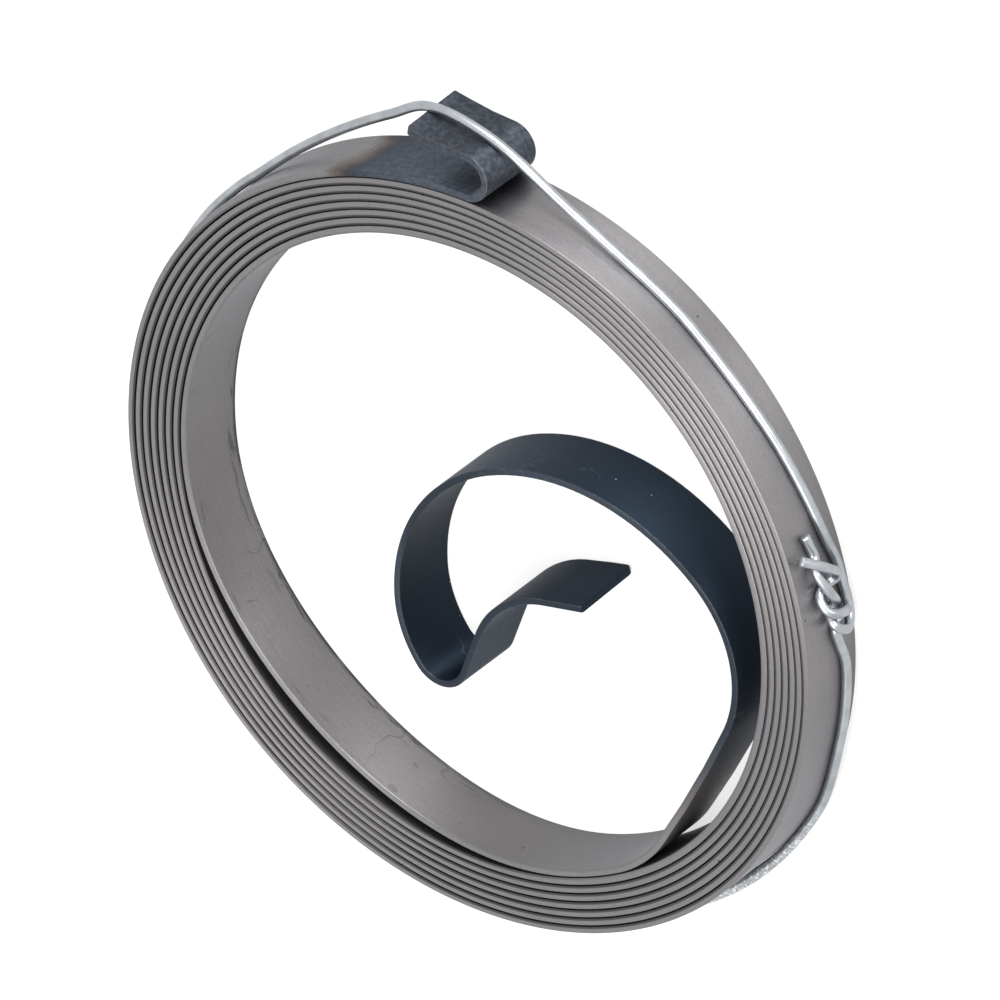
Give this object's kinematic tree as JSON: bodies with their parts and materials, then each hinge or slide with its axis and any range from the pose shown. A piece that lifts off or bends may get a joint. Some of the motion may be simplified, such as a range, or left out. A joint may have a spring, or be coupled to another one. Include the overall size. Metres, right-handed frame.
{
  "type": "spiral power spring",
  "caption": "Flat steel strip wound into a spiral ring with a folded outer hook and a curled inner hook, tied closed with a twisted wire; stores energy to turn a drum back.",
  "frame": {"origin": "on the coil's axis, in the plane on which the strip's lower edges stand", "axes": "+Z along the coil's axis, with the strip's width from z = 0 up; seen from +Z the strip winds inwards anticlockwise, and the outer hook lies near +Y"},
  "size_m": [0.0754, 0.0772, 0.007],
  "materials": {
    "spring_steel": "satin rolled strip steel with fine lengthwise marks, heat-blued dark at both hooks",
    "zinc_wire": "bright galvanised soft wire with a faint grainy zinc skin"
  },
  "bodies": {
    "root": {"spring_strip": "spring_steel", "outer_hook": "spring_steel", "inner_hook": "spring_steel", "tie_wire": "zinc_wire"}
  },
  "joints": []
}
